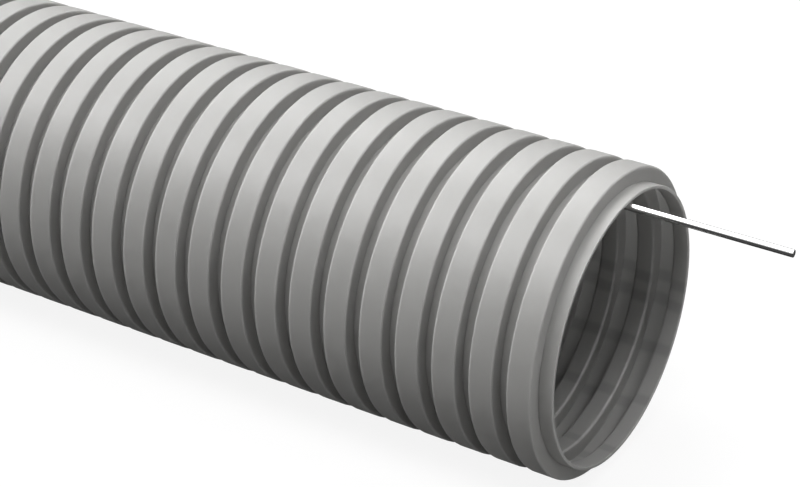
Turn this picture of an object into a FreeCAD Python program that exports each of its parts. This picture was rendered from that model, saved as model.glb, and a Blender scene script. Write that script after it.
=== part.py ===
import FreeCAD, Part
import math
import os
import Sketcher

# Corrugated electrical conduit with its draw wire, lying on a level floor
# X runs along the conduit to its photographed end, Z is up, and the crests touch Z = 0
# The origin is on the floor, under the middle of the length

# Driving dimensions in millimetres, apart from the two counts
DIMENSIONS = [
    ("crest_radius", 25.0, "outside radius over the crests, half of the nominal 50 mm"),
    ("floor_depth", 2.44, "from the crest down to the floor of the groove, so also to the cut rim"),
    ("wall", 0.38, "thickness of the moulded wall on the crests and flanks"),
    ("floor_wall", 0.55, "thickness of the wall under the groove floors, so also of the cut rim"),
    ("pitch", 6.41, "from one crest to the next along the conduit"),
    ("crest_width", 4.03, "width of a crest along the conduit"),
    ("flank_lean", 0.02, "run of each flank along the conduit"),
    ("rib_count", 156, "whole ribs in a length sold as one metre"),
    ("wire_radius", 0.6, "half of the 1.2 mm steel draw wire"),
    ("wire_clearance", 0.3, "gap between the draw wire and the inside of the floors beside it"),
    ("wire_reach", 26.0, "how far the draw wire stands out of each end"),
    ("wire_run_in", 40.0, "straight run along the top of the bore, inside each mouth"),
    ("wire_turn", 220.0, "run on which the wire comes round the wall from the top to the bottom"),
    ("wire_turn_steps", 6, "bends on that run, half as far apart in angle at its ends"),
]

# The outside of one pitch as formulas of the sheet, from the last rim to its own floor
RISE_X = "(sizes.pitch - sizes.flank_lean)"
FALL_X = "(sizes.pitch - sizes.flank_lean - sizes.crest_width)"
FOOT_X = "(sizes.pitch - 2 * sizes.flank_lean - sizes.crest_width)"
FLOOR_R = "(sizes.crest_radius - sizes.floor_depth)"
OUTSIDE = [
    ("sizes.pitch", FLOOR_R),
    (RISE_X, "sizes.crest_radius"),
    (FALL_X, "sizes.crest_radius"),
    (FOOT_X, FLOOR_R),
]
RISE, CREST, FALL, FLOOR = range(4)
START, END = 1, 2
ORIGIN = (-1, 1)
UPRIGHT_AXIS = -2
LENGTH = "sizes.rib_count * sizes.pitch"

# A bend's arc takes this share of the shorter run beside it
BEND_SHARE = 0.45
TUBE_VOLUME_TOLERANCE = 1e-6
WIRE_VOLUME_TOLERANCE = 1e-3


def make_sheet(doc):
    sheet = doc.addObject("Spreadsheet::Sheet", "sizes")
    for row, (alias, value, meaning) in enumerate(DIMENSIONS, start=1):
        sheet.set("A%d" % row, alias)
        sheet.set("B%d" % row, repr(value))
        sheet.set("C%d" % row, meaning)
        sheet.setAlias("B%d" % row, alias)
    doc.recompute()
    return sheet


def check_states(doc):
    doc.recompute()
    for item in doc.Objects:
        if "Invalid" in item.State or "Error" in item.State:
            raise RuntimeError(item.Name + " failed: " + str(item.State))


def plane_of(body, role):
    for feature in body.Origin.OriginFeatures:
        if feature.Role == role:
            return feature
    raise ValueError("the body has no " + role)


def outside_corners(sheet):
    floor_r = sheet.crest_radius - sheet.floor_depth
    rise_x = sheet.flank_lean - sheet.pitch
    fall_x = rise_x + sheet.crest_width
    return [
        (-sheet.pitch, floor_r),
        (rise_x, sheet.crest_radius),
        (fall_x, sheet.crest_radius),
        (fall_x + sheet.flank_lean, floor_r),
        (0.0, floor_r),
    ]


def mitred_offset(outline, gaps):
    """Corners of the line to the right of an open outline, each stretch at its own gap."""
    lines = []
    for (x_from, r_from), (x_to, r_to), gap in zip(outline, outline[1:], gaps):
        run = math.hypot(x_to - x_from, r_to - r_from)
        along_x, along_r = (x_to - x_from) / run, (r_to - r_from) / run
        lines.append((x_from + along_r * gap, r_from - along_x * gap, along_x, along_r))
    corners = []
    for (xa, ra, ua, va), (xb, rb, ub, vb) in zip(lines, lines[1:]):
        reach = ((xb - xa) * vb - (rb - ra) * ub) / (ua * vb - va * ub)
        corners.append((xa + reach * ua, ra + reach * va))
    return corners


def wall_corners(sheet):
    """Corners of the closed section of one pitch: the outside, then back along the inside."""
    outside = outside_corners(sheet)
    foot_x, floor_r = outside[FLOOR]
    last_foot = (foot_x - sheet.pitch, floor_r)
    gaps = [sheet.floor_wall, sheet.wall, sheet.wall, sheet.wall, sheet.floor_wall]
    inside = mitred_offset([last_foot] + outside, gaps)
    rim_inside = floor_r - sheet.floor_wall
    return outside + [(0.0, rim_inside)] + inside[::-1] + [(-sheet.pitch, rim_inside)]


def make_rib_section(body, sheet):
    """Sketch of one pitch of the wall, its inside held parallel to its outside."""
    sketch = body.newObject("Sketcher::SketchObject", "rib_section")
    sketch.AttachmentSupport = [(plane_of(body, "XZ_Plane"), "")]
    sketch.MapMode = "FlatFace"
    corners = wall_corners(sheet)
    count = len(corners)
    for number in range(count):
        start, stop = corners[number], corners[(number + 1) % count]
        sketch.addGeometry(Part.LineSegment(FreeCAD.Vector(*start), FreeCAD.Vector(*stop)), False)
    for number in range(count):
        sketch.addConstraint(Sketcher.Constraint("Coincident", number, END, (number + 1) % count, START))

    def bind(constraint, formula):
        number = sketch.addConstraint(constraint)
        sketch.setExpression("Constraints[%d]" % number, formula)

    for corner, (run, radius) in enumerate(OUTSIDE):
        x, r = corners[corner]
        bind(Sketcher.Constraint("DistanceX", corner, START, *ORIGIN, -x), run)
        bind(Sketcher.Constraint("DistanceY", *ORIGIN, corner, START, r), radius)

    # the floors lie level, the two cuts stand square, and the inside goes fall, crest and rise
    rim_cut = len(OUTSIDE)
    near_floor = rim_cut + 1
    last_floor = count - 2
    last_cut = count - 1
    sketch.addConstraint(Sketcher.Constraint("PointOnObject", rim_cut, START, UPRIGHT_AXIS))
    for level in (FLOOR, near_floor, last_floor):
        sketch.addConstraint(Sketcher.Constraint("Horizontal", level))
    for upright in (rim_cut, last_cut):
        sketch.addConstraint(Sketcher.Constraint("Vertical", upright))
        bind(Sketcher.Constraint("Distance", upright, sheet.floor_wall), "sizes.floor_wall")
    for line, stretch in enumerate((FALL, CREST, RISE), start=near_floor + 1):
        sketch.addConstraint(Sketcher.Constraint("Parallel", line, stretch))
        bind(Sketcher.Constraint("Distance", line, END, stretch, sheet.wall), "sizes.wall")
    return sketch


def make_conduit(doc, sheet):
    body = doc.addObject("PartDesign::Body", "conduit_tube")
    body.Label = "conduit_tube"
    section = make_rib_section(body, sheet)

    one_pitch = body.newObject("PartDesign::Revolution", "one_pitch")
    one_pitch.Profile = section
    one_pitch.ReferenceAxis = (section, ["H_Axis"])
    one_pitch.Angle = 360
    check_states(doc)

    ribs = body.newObject("PartDesign::LinearPattern", "ribs")
    ribs.Originals = [one_pitch]
    ribs.Direction = (section, ["H_Axis"])
    ribs.Reversed = True
    ribs.setExpression("Occurrences", "sizes.rib_count")
    ribs.setExpression("Length", "sizes.pitch * (sizes.rib_count - 1)")
    body.Tip = ribs
    body.setExpression("Placement.Base.x", LENGTH + " / 2")
    body.setExpression("Placement.Base.z", "sizes.crest_radius")
    check_states(doc)
    return body


def wire_route(sheet):
    """Points of the draw wire: out of the far mouth, along the bottom, and out of the near mouth.

    In each half it leaves the top of the bore and comes round the wall, on the near side (-Y) in
    the photographed half and on the other side in the far half, so that its weight is balanced.
    """
    half_length = sheet.rib_count * sheet.pitch / 2
    bore_radius = sheet.crest_radius - sheet.floor_depth - sheet.floor_wall
    swing = bore_radius - sheet.wire_clearance - sheet.wire_radius
    turn_start = half_length - sheet.wire_run_in
    steps = sheet.wire_turn_steps
    near_half = [FreeCAD.Vector(half_length + sheet.wire_reach, 0, swing + sheet.crest_radius)]
    for step in range(steps + 1):
        share = 0.0 if step == 0 else 1.0 if step == steps else (step - 0.5) / (steps - 1)
        angle = math.radians(90 + 180 * share)
        x = turn_start - sheet.wire_turn * step / steps
        near_half.append(FreeCAD.Vector(
            x, swing * math.cos(angle), sheet.crest_radius + swing * math.sin(angle)))
    far_half = [FreeCAD.Vector(-point.x, -point.y, point.z) for point in near_half]
    return far_half + near_half[::-1]


def rounded_path(points):
    """Straight runs joined by tangent arcs, each as large as its two runs allow."""
    edges = []
    radii = []
    start = points[0]
    for before, corner, after in zip(points, points[1:], points[2:]):
        back = before - corner
        onward = after - corner
        cut = BEND_SHARE * min(back.Length, onward.Length)
        half_turn = (math.pi - back.getAngle(onward)) / 2
        back.normalize()
        onward.normalize()
        arc_start = corner + back * cut
        arc_stop = corner + onward * cut
        radius = cut / math.tan(half_turn)
        inward = back + onward
        inward.normalize()
        middle = corner + inward * (radius / math.cos(half_turn) - radius)
        edges.append(Part.LineSegment(start, arc_start).toShape())
        edges.append(Part.Arc(arc_start, middle, arc_stop).toShape())
        radii.append(radius)
        start = arc_stop
    edges.append(Part.LineSegment(start, points[-1]).toShape())
    return Part.Wire(edges), radii


def make_draw_wire(doc, sheet):
    points = wire_route(sheet)
    path, radii = rounded_path(points)
    print("draw wire: length %.1f mm, tightest bend %.0f mm" % (path.Length, min(radii)))
    route = doc.addObject("Part::Feature", "wire_route")
    route.Shape = path

    round_section = doc.addObject("Part::Circle", "wire_section")
    round_section.setExpression("Radius", "sizes.wire_radius")
    round_section.Placement.Rotation = FreeCAD.Rotation(FreeCAD.Vector(0, 1, 0), 90)
    round_section.Placement.Base = points[0]

    wire = doc.addObject("Part::Sweep", "draw_wire")
    wire.Label = "draw_wire"
    wire.Sections = [round_section]
    wire.Spine = (route, [])
    wire.Solid = True
    wire.Frenet = False
    check_states(doc)
    return wire, path


def check_shape(piece, expected_volume, tolerance):
    shape = piece.Shape
    if shape.isNull() or not shape.isValid() or len(shape.Solids) != 1:
        raise RuntimeError(piece.Label + " is not one valid solid")
    if abs(shape.Volume - expected_volume) > tolerance * expected_volume:
        raise RuntimeError(piece.Label + " has the wrong volume")


doc = FreeCAD.newDocument("corrugated_conduit")
sheet = make_sheet(doc)
tube = make_conduit(doc, sheet)
wire, path = make_draw_wire(doc, sheet)
check_shape(tube, sheet.rib_count * doc.one_pitch.Shape.Volume, TUBE_VOLUME_TOLERANCE)
check_shape(wire, math.pi * sheet.wire_radius ** 2 * path.Length, WIRE_VOLUME_TOLERANCE)

os.makedirs("parts", exist_ok=True)
for piece in (tube, wire):
    piece.Shape.exportStep("parts/" + piece.Label + ".step")
    box = piece.Shape.BoundBox
    print(piece.Label, "volume %.1f mm3, faces %d," % (piece.Shape.Volume, len(piece.Shape.Faces)), box)
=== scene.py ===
import math

import bpy
import numpy as np
from mathutils import Matrix, Vector


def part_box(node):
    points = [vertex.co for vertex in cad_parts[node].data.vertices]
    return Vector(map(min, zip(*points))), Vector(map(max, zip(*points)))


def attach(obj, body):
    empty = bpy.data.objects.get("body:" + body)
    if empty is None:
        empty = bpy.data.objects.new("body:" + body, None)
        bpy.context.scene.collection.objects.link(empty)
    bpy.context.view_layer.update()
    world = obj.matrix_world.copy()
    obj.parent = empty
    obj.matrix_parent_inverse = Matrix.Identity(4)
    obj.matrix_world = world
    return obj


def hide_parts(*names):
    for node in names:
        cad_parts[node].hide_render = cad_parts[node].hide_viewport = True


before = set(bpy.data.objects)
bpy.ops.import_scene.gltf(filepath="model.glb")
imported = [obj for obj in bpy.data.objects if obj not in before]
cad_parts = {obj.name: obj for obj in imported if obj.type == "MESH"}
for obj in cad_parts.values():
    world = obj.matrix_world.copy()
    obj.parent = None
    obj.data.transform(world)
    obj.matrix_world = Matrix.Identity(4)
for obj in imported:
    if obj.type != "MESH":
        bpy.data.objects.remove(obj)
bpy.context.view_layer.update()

# Corrugated conduit with its draw wire, lying along X on a pale floor
# Lengths are in metres, as in the frame, and MM turns a size in millimetres into them
MM = 0.001
tube_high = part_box("conduit_tube")[1]

# Moulded wall, one pitch of it
CREST_RADIUS = 25.0 * MM
FLOOR_RADIUS = CREST_RADIUS - 2.44 * MM
WALL = 0.38 * MM
FLOOR_WALL = 0.55 * MM
BORE_RADIUS = FLOOR_RADIUS - FLOOR_WALL
PITCH = 6.41 * MM
CREST_WIDTH = 4.03 * MM
FLANK_LEAN = 0.02 * MM
HALF_LENGTH = tube_high.x
RIB_COUNT = round(2 * HALF_LENGTH / PITCH)
AXIS_HEIGHT = CREST_RADIUS

# Roundings of the section's corners, and how many straight steps draw each one
# The corners go left foot, left shoulder, right shoulder and right foot, as pitch_outside lists them
OUTSIDE_ROUNDS = [0.12 * MM, 0.2 * MM, 0.3 * MM, 0.08 * MM]
INSIDE_ROUNDS = [0.4 * MM, 0.15 * MM, 0.2 * MM, 0.4 * MM]
OUTSIDE_STEPS_FINE = [2, 4, 5, 2]
OUTSIDE_STEPS_PLAIN = [1, 3, 3, 1]
INSIDE_STEPS_FINE = [5, 2, 3, 5]
INSIDE_STEPS_PLAIN = [3, 1, 1, 3]
FAR_INSIDE_ROUND = 0.25 * MM
CUT_ROUND = 0.07 * MM
CUT_STEPS = 2

# The tube is drawn as runs of ribs that meet in the middle of a crest
FINE_RIBS = 24
PLAIN_RUNS = 4
FACETS_FINE = 96
FACETS_PLAIN = 80

# Draw wire
WIRE_RADIUS = 0.6 * MM
WIRE_CLEARANCE = 0.3 * MM
WIRE_REACH = 26.0 * MM
WIRE_RUN_IN = 40.0 * MM
WIRE_TURN = 220.0 * MM
WIRE_TURN_STEPS = 6
WIRE_TURN_SHARES = [0.0, 0.1, 0.3, 0.5, 0.7, 0.9, 1.0]
WIRE_STRAIGHT_INSIDE = 12.0 * MM
WIRE_EDGE_ROUND = 0.1 * MM
WIRE_EDGE_STEPS = 3
WIRE_FACETS = 32
WIRE_STEPS = 8

# Camera, by where it stands from the middle of the photographed cut end
# The sensor's width is in millimetres, as Blender counts its lenses
CAMERA_AZIMUTH = math.radians(32.291)
CAMERA_ELEVATION = math.radians(29.735)
CAMERA_ROLL = math.radians(-0.158)
CAMERA_DEPTH = 342.1 * MM
FOCAL_PIXELS = 2247.4
IMAGE_WIDTH, IMAGE_HEIGHT = 800, 487
END_PIXEL = (624.12, 328.71)
SENSOR_WIDTH = 36.0
CLIP_NEAR, CLIP_FAR = 0.02, 20.0


def pitch_outside():
    """Outside corners of one pitch as (x, radius), its right end being at x = 0."""
    rise_x = FLANK_LEAN - PITCH
    fall_x = rise_x + CREST_WIDTH
    return [
        (-PITCH, FLOOR_RADIUS),
        (rise_x, CREST_RADIUS),
        (fall_x, CREST_RADIUS),
        (fall_x + FLANK_LEAN, FLOOR_RADIUS),
    ]


def mitred_offset(outline, gaps):
    """Corners of the line to the right of an open outline, each stretch at its own gap."""
    outline = np.array(outline)
    along = outline[1:] - outline[:-1]
    along /= np.linalg.norm(along, axis=1)[:, None]
    right = np.stack([along[:, 1], -along[:, 0]], 1)
    corners = []
    for number in range(len(along) - 1):
        start = outline[number] + right[number] * gaps[number]
        other = outline[number + 1] + right[number + 1] * gaps[number + 1]
        ua, ub = along[number], along[number + 1]
        cross = ua[0] * ub[1] - ua[1] * ub[0]
        reach = ((other[0] - start[0]) * ub[1] - (other[1] - start[1]) * ub[0]) / cross
        corners.append(tuple(start + reach * ua))
    return corners


def pitch_corners(fine):
    """Corners of one pitch outside and inside, each as (x, radius, rounding, steps)."""
    outside = pitch_outside()
    last_foot = (outside[-1][0] - PITCH, FLOOR_RADIUS)
    gaps = [FLOOR_WALL, WALL, WALL, WALL, FLOOR_WALL]
    inside = mitred_offset([last_foot] + outside + [(0.0, FLOOR_RADIUS)], gaps)
    outside_steps = OUTSIDE_STEPS_FINE if fine else OUTSIDE_STEPS_PLAIN
    inside_steps = INSIDE_STEPS_FINE if fine else INSIDE_STEPS_PLAIN
    outer = [(*outside[n], OUTSIDE_ROUNDS[n], outside_steps[n]) for n in range(len(outside))]
    inner = [(*inside[n], INSIDE_ROUNDS[n], inside_steps[n]) for n in range(len(inside))]
    return outer, inner


def crest_middle():
    """Where the middle of a crest lies in its pitch."""
    return FLANK_LEAN - PITCH + CREST_WIDTH / 2


def run_line(corners, first_rib, last_rib, crest, rim):
    """One side of a run of ribs from left to right, its two ends being at the radii crest or rim."""
    line = []
    for rib in range(last_rib, first_rib - 1, -1):
        shift = HALF_LENGTH - rib * PITCH
        line += [(x + shift, *rest) for x, *rest in corners]
    if last_rib == RIB_COUNT - 1:
        line.insert(0, (-HALF_LENGTH, rim, CUT_ROUND, CUT_STEPS))
    else:
        left = HALF_LENGTH - last_rib * PITCH + crest_middle()
        line[:2] = [(left, crest, 0.0, 0)]
    if first_rib == 0:
        line.append((HALF_LENGTH, rim, CUT_ROUND, CUT_STEPS))
    else:
        shift = HALF_LENGTH - (first_rib - 1) * PITCH
        line += [(x + shift, *rest) for x, *rest in corners[:2]]
        line.append((shift + crest_middle(), crest, 0.0, 0))
    return line


def run_outline(first_rib, last_rib, fine):
    """Closed outline of a run of ribs, from the left end round the outside to the right and back inside.

    Ribs are counted from the photographed end, which lies at +X.
    A run ends in the middle of a crest, or else at the cut that closes the tube.
    """
    outer, inner = pitch_corners(fine)
    outer_line = run_line(outer, first_rib, last_rib, CREST_RADIUS, FLOOR_RADIUS)
    inner_line = run_line(inner, first_rib, last_rib, CREST_RADIUS - WALL, BORE_RADIUS)
    if last_rib == RIB_COUNT - 1:
        # The far cut runs straight into the flank of the first rib there
        outer_line[:2] = [(-HALF_LENGTH, FLOOR_RADIUS, 0.0, 0)]
        x, radius, rounding, steps = inner_line[1]
        inner_line[1] = (x, radius, FAR_INSIDE_ROUND, steps)
    return outer_line + inner_line[::-1]


def rounded_outline(corners):
    """Points of a closed outline with its corners rounded, and the outward normal before and after each."""
    places = np.array([corner[:2] for corner in corners])
    along = np.roll(places, -1, axis=0) - places
    along /= np.linalg.norm(along, axis=1)[:, None]
    points, normals_in, normals_out = [], [], []
    for number, (x, radius, rounding, steps) in enumerate(corners):
        before, after = along[number - 1], along[number]
        turn = math.atan2(before[0] * after[1] - before[1] * after[0], float(before @ after))
        normal_before = np.array([-before[1], before[0]])
        normal_after = np.array([-after[1], after[0]])
        if steps == 0:
            points.append((x, radius))
            normals_in.append(normal_before)
            normals_out.append(normal_after)
            continue
        start = places[number] - before * rounding * math.tan(abs(turn) / 2)
        side = math.copysign(1.0, turn)
        centre = start + normal_before * rounding * side
        for step in range(steps + 1):
            angle = turn * step / steps
            cosine, sine = math.cos(angle), math.sin(angle)
            normal = np.array([normal_before[0] * cosine - normal_before[1] * sine,
                               normal_before[0] * sine + normal_before[1] * cosine])
            points.append(tuple(centre - normal * rounding * side))
            normals_in.append(normal)
            normals_out.append(normal)
    return np.array(points), np.array(normals_in), np.array(normals_out)


def mesh_from_rings(name, rings, normals_before, normals_after, closed):
    """Joins rings of points into a mesh of quads, with the given normals on both sides of each ring.

    The three arrays run over rings, then over the points round a ring, then over x, y and z.
    """
    count, around = rings.shape[:2]
    last = count if closed else count - 1
    ring = np.arange(last)[:, None]
    spoke = np.arange(around)[None, :]
    next_ring = (ring + 1) % count
    next_spoke = (spoke + 1) % around
    quads = np.stack([ring * around + spoke, ring * around + next_spoke,
                      next_ring * around + next_spoke, next_ring * around + spoke], axis=-1)
    normals = np.stack([
        normals_after[ring, spoke], normals_after[ring, next_spoke],
        normals_before[next_ring, next_spoke], normals_before[next_ring, spoke]], axis=2)
    quads = quads.reshape(-1, 4)
    normals = normals.reshape(-1, 3)
    mesh = bpy.data.meshes.new(name)
    mesh.vertices.add(count * around)
    mesh.vertices.foreach_set("co", rings.reshape(-1).astype(np.float32))
    mesh.loops.add(quads.size)
    mesh.loops.foreach_set("vertex_index", quads.reshape(-1).astype(np.int32))
    mesh.polygons.add(len(quads))
    mesh.polygons.foreach_set("loop_start", np.arange(0, quads.size, 4, dtype=np.int32))
    mesh.update(calc_edges=True)
    mesh.validate()
    mesh.polygons.foreach_set("use_smooth", np.ones(len(quads), dtype=bool))
    mesh.normals_split_custom_set(normals)
    piece = bpy.data.objects.new(name, mesh)
    bpy.context.scene.collection.objects.link(piece)
    return piece


def turned_run(name, first_rib, last_rib, fine):
    """One run of ribs of the tube, turned round its axis."""
    points, normals_in, normals_out = rounded_outline(run_outline(first_rib, last_rib, fine))
    facets = FACETS_FINE if fine else FACETS_PLAIN
    angles = np.arange(facets) * 2 * math.pi / facets - math.pi / 2

    def turned(flat):
        across = flat[:, 1][:, None]
        return np.stack([np.repeat(flat[:, 0][:, None], facets, axis=1),
                         across * np.cos(angles), across * np.sin(angles)], axis=-1)

    rings = turned(points)
    rings[:, :, 2] += AXIS_HEIGHT
    piece = mesh_from_rings(name, rings, turned(normals_in), turned(normals_out), closed=True)
    print(name, "ribs", last_rib - first_rib + 1, "triangles", 2 * len(piece.data.polygons))
    return piece


def make_tube():
    """The tube as a fine run at the photographed end and plainer runs behind it."""
    runs = [turned_run("conduit_front", 0, FINE_RIBS - 1, fine=True)]
    rest = RIB_COUNT - FINE_RIBS
    edges = [FINE_RIBS + round(rest * run / PLAIN_RUNS) for run in range(PLAIN_RUNS + 1)]
    for run in range(PLAIN_RUNS):
        name = "conduit_run_%d" % (run + 1)
        runs.append(turned_run(name, edges[run], edges[run + 1] - 1, fine=False))
    return runs


def wire_route():
    """Points of the draw wire's route, from its far tip to the photographed one."""
    swing = BORE_RADIUS - WIRE_CLEARANCE - WIRE_RADIUS
    near = [(HALF_LENGTH + WIRE_REACH, 0.0, AXIS_HEIGHT + swing),
            (HALF_LENGTH - WIRE_STRAIGHT_INSIDE, 0.0, AXIS_HEIGHT + swing)]
    for step, share in enumerate(WIRE_TURN_SHARES):
        x = HALF_LENGTH - WIRE_RUN_IN - WIRE_TURN * step / WIRE_TURN_STEPS
        angle = math.pi / 2 + math.pi * share
        near.append((x, swing * math.cos(angle), AXIS_HEIGHT + swing * math.sin(angle)))
    far = [(-x, -y, z) for x, y, z in near]
    return far + near[::-1]


def wire_line():
    """Points along the smooth line through the route, read from its spline."""
    curve = bpy.data.curves.new("draw_wire_line", "CURVE")
    curve.dimensions = "3D"
    curve.resolution_u = WIRE_STEPS
    spline = curve.splines.new("NURBS")
    route = wire_route()
    spline.points.add(len(route) - 1)
    for point, place in zip(spline.points, route):
        point.co = (*place, 1.0)
    spline.order_u = 3
    spline.use_endpoint_u = True
    holder = bpy.data.objects.new("draw_wire_line", curve)
    bpy.context.scene.collection.objects.link(holder)
    bpy.context.view_layer.update()
    mesh = bpy.data.meshes.new_from_object(holder.evaluated_get(bpy.context.evaluated_depsgraph_get()))
    line = np.array([vertex.co for vertex in mesh.vertices])
    bpy.data.objects.remove(holder)
    bpy.data.curves.remove(curve)
    bpy.data.meshes.remove(mesh)
    return line


def make_wire():
    """The draw wire as a round bar along its line, with its cut ends slightly rounded."""
    line = wire_line()
    along = np.gradient(line, axis=0)
    along /= np.linalg.norm(along, axis=1)[:, None]
    edge = [(math.sin(a), math.cos(a)) for a in np.linspace(0, math.pi / 2, WIRE_EDGE_STEPS + 1)]
    # Each station is a place on the line, the direction there, the ring's radius and its normals' lean
    start, end = line[0], line[-1]
    stations = [(start, along[0], 0.0, -1.0)]
    flat = WIRE_RADIUS - WIRE_EDGE_ROUND
    for sine, cosine in edge:
        place = start + along[0] * WIRE_EDGE_ROUND * (1 - cosine)
        stations.append((place, along[0], flat + WIRE_EDGE_ROUND * sine, -cosine))
    for place, direction in zip(line[1:-1], along[1:-1]):
        stations.append((place, direction, WIRE_RADIUS, 0.0))
    for sine, cosine in edge[::-1]:
        place = end - along[-1] * WIRE_EDGE_ROUND * (1 - cosine)
        stations.append((place, along[-1], flat + WIRE_EDGE_ROUND * sine, cosine))
    stations.append((end, along[-1], 0.0, 1.0))
    angles = np.arange(WIRE_FACETS) * 2 * math.pi / WIRE_FACETS
    rings, normals = [], []
    for place, direction, radius, lean in stations:
        sideways = np.cross((0.0, 0.0, 1.0), direction)
        sideways /= np.linalg.norm(sideways)
        upwards = np.cross(direction, sideways)
        outwards = np.cos(angles)[:, None] * sideways + np.sin(angles)[:, None] * upwards
        rings.append(place + outwards * radius)
        normals.append(outwards * math.sqrt(1 - lean * lean) + direction * lean)
    rings, normals = np.array(rings), np.array(normals)
    return mesh_from_rings("draw_wire_bar", rings, normals, normals, closed=False)


# Sockets of a Mix node that mixes colours, by their numbers
MIX_FACTOR, MIX_FIRST, MIX_SECOND, MIX_RESULT = 0, 6, 7, 2


class Nodes:
    """Short hand for the nodes of one material or world."""

    def __init__(self, tree):
        self.tree = tree
        tree.nodes.clear()

    def feed(self, socket, value):
        """Gives an input its value, which is another node's output or a constant."""
        if isinstance(value, bpy.types.NodeSocket):
            self.tree.links.new(value, socket)
        else:
            socket.default_value = value

    def add(self, kind, **values):
        """Adds a node. A value set by a name that the node has becomes its property, any other an input."""
        node = self.tree.nodes.new(kind)
        for key, value in values.items():
            if hasattr(node, key):
                setattr(node, key, value)
            else:
                self.feed(node.inputs[key.replace("_", " ")], value)
        return node

    def math(self, operation, first, second=0.0):
        """What a Math node makes of one or two values."""
        node = self.add("ShaderNodeMath", operation=operation)
        self.feed(node.inputs[0], first)
        self.feed(node.inputs[1], second)
        return node.outputs["Value"]

    def mix(self, share, first, second):
        """The colour that lies between two, with this share of the second one."""
        node = self.add("ShaderNodeMix", data_type="RGBA")
        self.feed(node.inputs[MIX_FACTOR], share)
        self.feed(node.inputs[MIX_FIRST], first)
        self.feed(node.inputs[MIX_SECOND], second)
        return node.outputs[MIX_RESULT]

    def noise(self, place, **values):
        """Cloudy noise at a place, from zero to one."""
        return self.add("ShaderNodeTexNoise", Vector=place, **values).outputs["Fac"]

    def ramp(self, value, **limits):
        """A value carried over from one span to another, each from zero to one unless it is given."""
        return self.add("ShaderNodeMapRange", Value=value, **limits).outputs["Result"]


def new_material(name):
    """A new material and its emptied node tree."""
    material = bpy.data.materials.new(name)
    material.use_nodes = True
    return material, Nodes(material.node_tree)


# Light grey rigid plastic: its colours, its gloss and the faint texture that moulding leaves
PVC_LIGHT = (0.41, 0.407, 0.397, 1.0)
PVC_DARK = (0.385, 0.382, 0.373, 1.0)
PVC_LIGHT_DEPTH = 1.6 * MM
PVC_ROUGHNESS = (0.41, 0.46)
PVC_IOR = 1.5
PVC_CLOUD_SCALE = 45.0
PVC_GRAIN_SCALE = 900.0
PVC_GRAIN_HEIGHT = 0.012 * MM

# Faint dark stripes painted into the colour along the bore, by degrees round the axis from +Y upwards
BORE_LINES = [-10.0, -19.0, -38.0, -61.5, -92.5]
BORE_LINE_HALF, BORE_LINE_FADE = math.radians(1.5), math.radians(3.2)
BORE_LINE_SHADE = 0.82

# A normal's lean away from the axis, from -1 to 1: in the bore below the first, outside above the second
BORE_SIDE, OUTER_SIDE = -0.6, -0.3


def bore_shade(nodes, place):
    """One outside and in most of the bore, and less on the lines along it."""
    across = nodes.add("ShaderNodeVectorMath", operation="MULTIPLY_ADD", Vector=place.outputs["Object"])
    across.inputs[1].default_value = (0.0, 1.0, 1.0)
    across.inputs[2].default_value = (0.0, 0.0, -AXIS_HEIGHT)
    parts = nodes.add("ShaderNodeSeparateXYZ", Vector=across.outputs["Vector"])
    angle = nodes.math("ARCTAN2", parts.outputs["Z"], parts.outputs["Y"])
    # Darker stripes painted into the colour along the bore, at the places listed in BORE_LINES
    lines = 1.0
    for degrees in BORE_LINES:
        away = nodes.math("ABSOLUTE", nodes.math("SUBTRACT", angle, math.radians(degrees)))
        line = nodes.ramp(away, From_Min=BORE_LINE_HALF, From_Max=BORE_LINE_FADE, To_Min=BORE_LINE_SHADE)
        lines = nodes.math("MULTIPLY", lines, line)
    lean = nodes.add("ShaderNodeVectorMath", operation="DOT_PRODUCT", Vector=place.outputs["Normal"])
    nodes.feed(lean.inputs[1], across.outputs["Vector"])
    outside = nodes.ramp(lean.outputs["Value"], From_Min=BORE_SIDE * BORE_RADIUS,
                         From_Max=OUTER_SIDE * BORE_RADIUS)
    return nodes.math("MAXIMUM", outside, lines)


def pvc_material():
    """Light grey plastic with faint clouds of colour, a satin gloss and a fine moulded grain.

    Some light passes through its thin wall, so the bore glows a little under the lit crests.
    """
    material, nodes = new_material("grey_pvc")
    place = nodes.add("ShaderNodeTexCoord")
    clouds = nodes.noise(place.outputs["Object"], Scale=PVC_CLOUD_SCALE, Detail=4.0, Roughness=0.55)
    grain = nodes.noise(place.outputs["Object"], Scale=PVC_GRAIN_SCALE, Detail=3.0, Roughness=0.6)
    colour = nodes.add("ShaderNodeVectorMath", operation="SCALE",
                       Vector=nodes.mix(clouds, PVC_DARK, PVC_LIGHT), Scale=bore_shade(nodes, place))
    bump = nodes.add("ShaderNodeBump", Strength=1.0, Distance=PVC_GRAIN_HEIGHT, Height=grain)
    shader = nodes.add("ShaderNodeBsdfPrincipled", IOR=PVC_IOR, subsurface_method="RANDOM_WALK",
                       Subsurface_Weight=1.0, Subsurface_Radius=(1.0, 1.0, 1.0),
                       Subsurface_Scale=PVC_LIGHT_DEPTH,
                       Base_Color=colour.outputs["Vector"],
                       Roughness=nodes.ramp(clouds, To_Min=PVC_ROUGHNESS[0], To_Max=PVC_ROUGHNESS[1]),
                       Normal=bump.outputs["Normal"])
    nodes.add("ShaderNodeOutputMaterial", Surface=shader.outputs["BSDF"])
    return material


# Bright drawn steel
STEEL_LIGHT = (0.82, 0.82, 0.82, 1.0)
STEEL_DARK = (0.70, 0.70, 0.70, 1.0)
STEEL_ROUGHNESS = (0.07, 0.13)
STEEL_LINE_SCALE = (12.0, 2500.0, 2500.0)
STEEL_LINE_HEIGHT = 0.003 * MM


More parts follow.
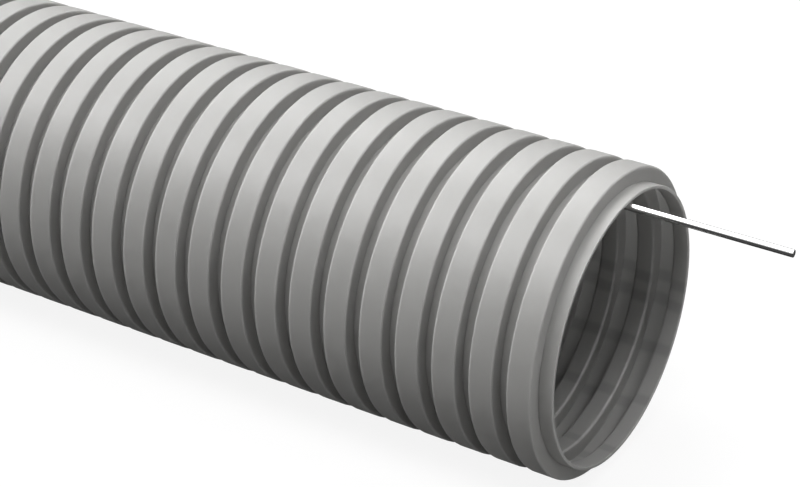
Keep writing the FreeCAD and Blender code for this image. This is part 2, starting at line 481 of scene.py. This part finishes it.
def steel_material():
    """Drawn steel: bright, with fine lines along the wire."""
    material, nodes = new_material("steel_wire")
    place = nodes.add("ShaderNodeTexCoord")
    stretched = nodes.add("ShaderNodeMapping", Vector=place.outputs["Object"], Scale=STEEL_LINE_SCALE)
    lines = nodes.noise(stretched.outputs["Vector"], Scale=1.0, Detail=3.0)
    bump = nodes.add("ShaderNodeBump", Strength=1.0, Distance=STEEL_LINE_HEIGHT, Height=lines)
    shader = nodes.add("ShaderNodeBsdfPrincipled", Metallic=1.0,
                       Base_Color=nodes.mix(lines, STEEL_DARK, STEEL_LIGHT),
                       Roughness=nodes.ramp(lines, To_Min=STEEL_ROUGHNESS[0], To_Max=STEEL_ROUGHNESS[1]),
                       Normal=bump.outputs["Normal"])
    nodes.add("ShaderNodeOutputMaterial", Surface=shader.outputs["BSDF"])
    return material


# Floor, seen white by the camera, grey by the light that falls back from it, and nearly black in
# reflections, a painted dark reflection on the wire's underside
FLOOR_SIZE = 12.0
FLOOR_COLOUR = (0.22, 0.22, 0.22, 1.0)
FLOOR_PAINTED_REFLECTION_COLOUR = (0.05, 0.05, 0.05, 1.0)
FLOOR_SEEN_COLOUR = (0.12, 0.12, 0.12, 1.0)
FLOOR_SEEN_GLOW = 0.89

# Background, white to the camera, and to gloss rays from a dark horizon up
# The horizon's two values are the height of a ray's direction where white starts and where it is full
BACKGROUND_SEEN = (1.0, 1.0, 1.0, 1.0)
WORLD_COLOUR = (1.0, 1.0, 1.0, 1.0)
WORLD_STRENGTH = 0.01
HORIZON_DARK, HORIZON_WHITE = 0.12, 0.40


def direct_rays(nodes, path):
    """One where the camera looks at the surface, also through glass, else zero."""
    return nodes.math("MAXIMUM", path.outputs["Is Camera Ray"], path.outputs["Is Transmission Ray"])


def floor_material():
    """A pale floor that the camera sees white outside the object's shadow."""
    material, nodes = new_material("pale_floor")
    path = nodes.add("ShaderNodeLightPath")
    seen = direct_rays(nodes, path)
    # Nearly black to gloss rays: this paints a dark reflection on the metal's underside
    unseen_colour = nodes.mix(path.outputs["Is Glossy Ray"], FLOOR_COLOUR, FLOOR_PAINTED_REFLECTION_COLOUR)
    matt = nodes.add("ShaderNodeBsdfDiffuse", Color=nodes.mix(seen, unseen_colour, FLOOR_SEEN_COLOUR))
    glow = nodes.add("ShaderNodeEmission", Color=BACKGROUND_SEEN,
                     Strength=nodes.math("MULTIPLY", seen, FLOOR_SEEN_GLOW))
    both = nodes.add("ShaderNodeAddShader")
    nodes.feed(both.inputs[0], matt.outputs["BSDF"])
    nodes.feed(both.inputs[1], glow.outputs["Emission"])
    nodes.add("ShaderNodeOutputMaterial", Surface=both.outputs["Shader"])
    return material


def make_floor():
    """The floor, a large plane at z = 0."""
    half = FLOOR_SIZE / 2
    mesh = bpy.data.meshes.new("floor")
    corners = [(-half, -half, 0.0), (half, -half, 0.0), (half, half, 0.0), (-half, half, 0.0)]
    mesh.from_pydata(corners, [], [(0, 1, 2, 3)])
    floor = bpy.data.objects.new("floor", mesh)
    floor.data.materials.append(floor_material())
    bpy.context.scene.collection.objects.link(floor)


def make_world():
    """Faint even light from all round, and the white background, which gloss rays see above the horizon."""
    world = bpy.data.worlds.new("studio")
    world.use_nodes = True
    nodes = Nodes(world.node_tree)
    light = nodes.add("ShaderNodeBackground", Color=WORLD_COLOUR, Strength=WORLD_STRENGTH)
    background = nodes.add("ShaderNodeBackground", Color=BACKGROUND_SEEN, Strength=1.0)
    direction = nodes.add("ShaderNodeTexCoord").outputs["Generated"]
    height = nodes.add("ShaderNodeSeparateXYZ", Vector=direction).outputs["Z"]
    rise = nodes.ramp(height, From_Min=HORIZON_DARK, From_Max=HORIZON_WHITE)
    path = nodes.add("ShaderNodeLightPath")
    mirrored = nodes.math("MULTIPLY", path.outputs["Is Glossy Ray"], rise)
    seen = nodes.math("MAXIMUM", direct_rays(nodes, path), mirrored)
    choice = nodes.add("ShaderNodeMixShader", Fac=seen)
    nodes.feed(choice.inputs[1], light.outputs["Background"])
    nodes.feed(choice.inputs[2], background.outputs["Background"])
    nodes.add("ShaderNodeOutputWorld", Surface=choice.outputs["Shader"])
    bpy.context.scene.world = world


# Soft lamps round the photographed end: name, azimuth and elevation in degrees, power in watts, and side
LAMPS = [
    ("softbox_back", 275.0, 40.0, 60.0, 2.0),
    ("softbox_key", 315.0, 55.0, 74.0, 2.0),
    ("softbox_top", 10.0, 70.0, 56.0, 1.5),
    ("softbox_far", 230.0, 60.0, 50.0, 1.5),
    ("softbox_right", 210.0, 45.0, 24.0, 1.5),
    ("softbox_mouth", 120.0, 60.0, 38.0, 1.5),
    ("softbox_low", 90.0, 8.0, 24.0, 1.2),
    ("softbox_near", 60.0, 45.0, 10.0, 1.0),
]
LAMP_DISTANCE = 4.0
LAMP_AIM_INSIDE = 0.15


def direction_to(azimuth, elevation):
    """Direction from the object towards a place, azimuth 0 being towards -Y and 90 towards +X."""
    return Vector((math.sin(azimuth) * math.cos(elevation),
                   -math.cos(azimuth) * math.cos(elevation), math.sin(elevation)))


def end_centre():
    """Middle of the photographed cut end."""
    return Vector((HALF_LENGTH, 0.0, AXIS_HEIGHT))


def make_lamps():
    """Square soft lamps, all facing a place on the axis a little inside the photographed end."""
    aim = end_centre() - Vector((LAMP_AIM_INSIDE, 0.0, 0.0))
    for name, azimuth, elevation, power, side in LAMPS:
        light = bpy.data.lights.new(name, "AREA")
        light.shape = "SQUARE"
        light.size = side
        light.energy = power
        lamp = bpy.data.objects.new(name, light)
        towards = direction_to(math.radians(azimuth), math.radians(elevation))
        lamp.location = aim + towards * LAMP_DISTANCE
        lamp.rotation_euler = (-towards).to_track_quat("-Z", "Y").to_euler()
        bpy.context.scene.collection.objects.link(lamp)


def make_camera():
    """The camera, placed so that the cut end's middle falls on its pixel of the photograph."""
    back = direction_to(CAMERA_AZIMUTH, CAMERA_ELEVATION)
    forward = -back
    level_right = forward.cross(Vector((0.0, 0.0, 1.0))).normalized()
    level_up = level_right.cross(forward)
    cosine, sine = math.cos(CAMERA_ROLL), math.sin(CAMERA_ROLL)
    right = level_right * cosine + level_up * sine
    up = level_up * cosine - level_right * sine
    pixel = CAMERA_DEPTH / FOCAL_PIXELS
    across = (END_PIXEL[0] - IMAGE_WIDTH / 2) * pixel
    above = (IMAGE_HEIGHT / 2 - END_PIXEL[1]) * pixel
    place = end_centre() - (right * across + up * above + forward * CAMERA_DEPTH)
    data = bpy.data.cameras.new("camera")
    data.sensor_width = SENSOR_WIDTH
    data.lens = FOCAL_PIXELS / IMAGE_WIDTH * SENSOR_WIDTH
    data.clip_start, data.clip_end = CLIP_NEAR, CLIP_FAR
    camera = bpy.data.objects.new("camera", data)
    turn = Matrix((right, up, back)).transposed().to_4x4()
    camera.matrix_world = Matrix.Translation(place) @ turn
    bpy.context.scene.collection.objects.link(camera)
    bpy.context.scene.camera = camera


def finish_piece(piece, material, node):
    """Gives a piece its material and its place in the frame."""
    piece.data.materials.append(material)
    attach(piece, "root")
    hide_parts(node)


pvc = pvc_material()
steel = steel_material()
for run in make_tube():
    finish_piece(run, pvc, "conduit_tube")
finish_piece(make_wire(), steel, "draw_wire")
make_floor()
make_world()
make_lamps()
make_camera()
bpy.context.scene.view_settings.view_transform = "Standard"
